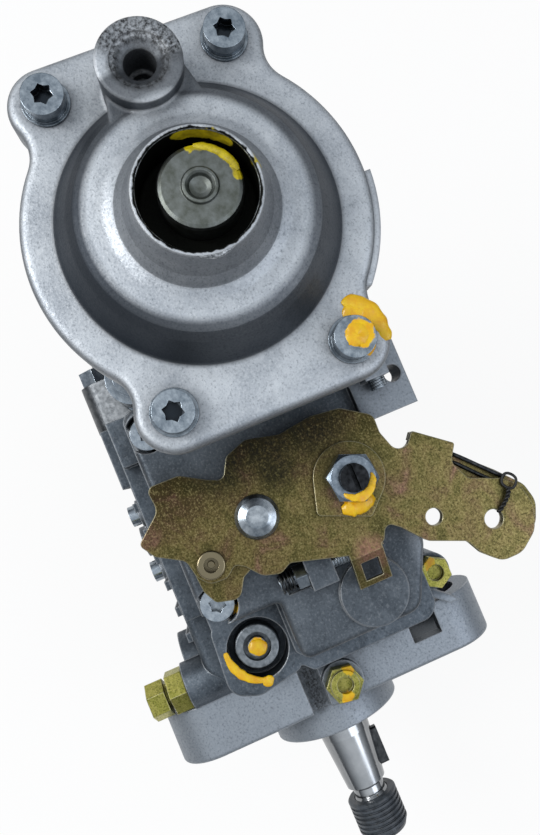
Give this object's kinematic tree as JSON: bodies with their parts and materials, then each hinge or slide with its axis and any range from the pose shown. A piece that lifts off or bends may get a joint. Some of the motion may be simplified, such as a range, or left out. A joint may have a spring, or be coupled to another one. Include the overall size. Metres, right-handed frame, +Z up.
{
  "type": "diesel injection pump",
  "caption": "Rotary distributor diesel injection pump with round boost compensator on top, yellow zinc throttle lever, triangular mounting flange and keyed tapered drive shaft.",
  "frame": {"origin": "on the drive shaft axis at the front face of the mounting flange", "axes": "+X along the drive shaft towards its nose, +Z up towards the boost cover, +Y towards the side the throttle arm points to"},
  "size_m": [0.2661, 0.1363, 0.2133],
  "materials": {
    "cast_aluminium": "die-cast, fine sand texture",
    "bright_steel": "ground",
    "silver_zinc": "silver zinc plate",
    "yellow_zinc": "yellow chromate zinc plate, iridescent",
    "fitting_zinc": "yellow chromate zinc plate",
    "dark_steel": "hardened, oiled",
    "head_steel": "machined",
    "spring_steel": "drawn wire",
    "bronze": "sintered bronze",
    "black_rubber": "moulded",
    "gasket": "fibre gasket",
    "grey_plastic": "ribbed grey plastic"
  },
  "bodies": {
    "housing": {"pump_housing": "cast_aluminium", "shaft_bushing": "bronze", "shaft_seal": "black_rubber", "eccentric_ring": "dark_steel", "pump_support_plate": "dark_steel", "distributor_head": "head_steel", "head_bolts": "silver_zinc", "plunger_barrel": "bright_steel", "central_plug": "silver_zinc", "delivery_valve_holders": "silver_zinc", "delivery_valves": "bright_steel", "shutoff_solenoid": "silver_zinc", "governor_cover": "cast_aluminium", "governor_cover_gasket": "gasket", "cover_screws": "silver_zinc", "boost_cover": "cast_aluminium", "boost_cover_screws": "silver_zinc", "tower_cap": "dark_steel", "diaphragm": "black_rubber", "governor_shaft": "bright_steel", "timing_covers": "cast_aluminium", "timing_spring": "spring_steel", "boost_spring": "spring_steel", "governor_spring": "spring_steel", "plunger_springs": "spring_steel", "stop_screws": "silver_zinc", "lever_return_spring": "spring_steel", "inlet_screw": "silver_zinc", "front_plug": "fitting_zinc", "return_fitting": "fitting_zinc"},
    "drive_train": {"drive_shaft": "bright_steel", "woodruff_key": "dark_steel", "thread_protector": "grey_plastic", "vane_rotor": "dark_steel", "vanes": "bright_steel", "drive_gear": "dark_steel", "coupling_cross": "dark_steel", "cam_plate": "dark_steel", "distributor_plunger": "bright_steel"},
    "governor_cage": {"flyweight_cage": "dark_steel"},
    "weight_1": {"flyweight_1": "dark_steel"},
    "weight_2": {"flyweight_2": "dark_steel"},
    "weight_3": {"flyweight_3": "dark_steel"},
    "weight_4": {"flyweight_4": "dark_steel"},
    "sleeve": {"governor_sleeve": "bright_steel"},
    "start_lever": {"starting_lever": "dark_steel"},
    "spring_lever": {"tension_lever": "dark_steel"},
    "quantity_collar": {"control_collar": "bright_steel"},
    "timing": {"timing_piston": "dark_steel"},
    "rollers_carrier": {"roller_ring": "dark_steel", "rollers": "bright_steel"},
    "throttle": {"throttle_shaft": "bright_steel", "throttle_lever": "yellow_zinc", "lever_underplate": "yellow_zinc", "lever_rivets": "silver_zinc", "lever_washer": "yellow_zinc", "lever_nut": "silver_zinc"},
    "boost_rod": {"boost_pin": "bright_steel", "diaphragm_plates": "silver_zinc"},
    "shutoff_valve": {"solenoid_plunger": "bright_steel"}
  },
  "joints": [
    {"name": "shaft_spin", "type": "hinge", "parent": "housing", "child": "drive_train", "pos_m": [0, 0, 0], "axis": [1, 0, 0], "continuous": true},
    {"name": "governor_cage_spin", "type": "hinge", "parent": "housing", "child": "governor_cage", "pos_m": [0, 0.009, 0.05324], "axis": [1, 0, 0], "continuous": true},
    {"name": "governor_sleeve_travel", "type": "slide", "parent": "housing", "child": "sleeve", "axis": [-1, 0, 0], "range_m": [0, 0.0024]},
    {"name": "flyweight_1_swing", "type": "hinge", "parent": "governor_cage", "child": "weight_1", "pos_m": [-0.0695, 0.009, 0.07024], "axis": [0, 1, 0], "range_deg": [0, 15]},
    {"name": "flyweight_2_swing", "type": "hinge", "parent": "governor_cage", "child": "weight_2", "pos_m": [-0.0695, -0.008, 0.05324], "axis": [0, 0, 1], "range_deg": [0, 15]},
    {"name": "flyweight_3_swing", "type": "hinge", "parent": "governor_cage", "child": "weight_3", "pos_m": [-0.0695, 0.009, 0.03624], "axis": [0, -1, 0], "range_deg": [0, 15]},
    {"name": "flyweight_4_swing", "type": "hinge", "parent": "governor_cage", "child": "weight_4", "pos_m": [-0.0695, 0.026, 0.05324], "axis": [0, 0, -1], "range_deg": [0, 15]},
    {"name": "starting_lever_swing", "type": "hinge", "parent": "housing", "child": "start_lever", "pos_m": [-0.106, 0, 0.034], "axis": [0, -1, 0], "range_deg": [0, 8]},
    {"name": "control_collar_slide", "type": "slide", "parent": "housing", "child": "quantity_collar", "axis": [1, 0, 0], "range_m": [0, 0.0031]},
    {"name": "tension_lever_swing", "type": "hinge", "parent": "housing", "child": "spring_lever", "pos_m": [-0.106, 0, 0.034], "axis": [0, -1, 0], "range_deg": [0, 4.5], "stiffness_Nm_per_rad": 2, "springref_deg": -2.86, "deforming": ["governor_spring"]},
    {"name": "timing_piston_travel", "type": "slide", "parent": "housing", "child": "timing", "axis": [0, -1, 0], "range_m": [0, 0.008], "stiffness_N_per_m": 1500, "springref_m": -0.004, "deforming": ["timing_spring"]},
    {"name": "roller_ring_turn", "type": "hinge", "parent": "housing", "child": "rollers_carrier", "pos_m": [-0.078, 0, 0], "axis": [-1, 0, 0], "range_deg": [0, 10.2]},
    {"name": "throttle_lever_turn", "type": "hinge", "parent": "housing", "child": "throttle", "pos_m": [-0.0792, 0.0262, 0.09], "axis": [0, 0, 1], "range_deg": [0, 30], "stiffness_Nm_per_rad": 0.6, "springref_deg": -17.19, "deforming": ["lever_return_spring"]},
    {"name": "boost_rod_travel", "type": "slide", "parent": "housing", "child": "boost_rod", "axis": [0, 0, -1], "range_m": [0, 0.004], "stiffness_N_per_m": 4000, "springref_m": -0.001, "deforming": ["boost_spring", "diaphragm"]},
    {"name": "shutoff_valve_travel", "type": "slide", "parent": "housing", "child": "shutoff_valve", "axis": [0, 0, 1], "range_m": [0, 0.0015], "stiffness_N_per_m": 800, "springref_m": -0.001}
  ],
  "couplings": [
    {"joint": "governor_cage_spin", "follows": "shaft_spin", "ratio": -1.3226},
    {"joint": "flyweight_1_swing", "follows": "governor_sleeve_travel", "rad_per_m": 104.17},
    {"joint": "flyweight_2_swing", "follows": "governor_sleeve_travel", "rad_per_m": 104.17},
    {"joint": "flyweight_3_swing", "follows": "governor_sleeve_travel", "rad_per_m": 104.17},
    {"joint": "flyweight_4_swing", "follows": "governor_sleeve_travel", "rad_per_m": 104.17},
    {"joint": "starting_lever_swing", "follows": "governor_sleeve_travel", "rad_per_m": 51.962},
    {"joint": "control_collar_slide", "follows": "governor_sleeve_travel", "ratio": 1.2083},
    {"joint": "roller_ring_turn", "follows": "timing_piston_travel", "rad_per_m": 21.739}
  ]
}
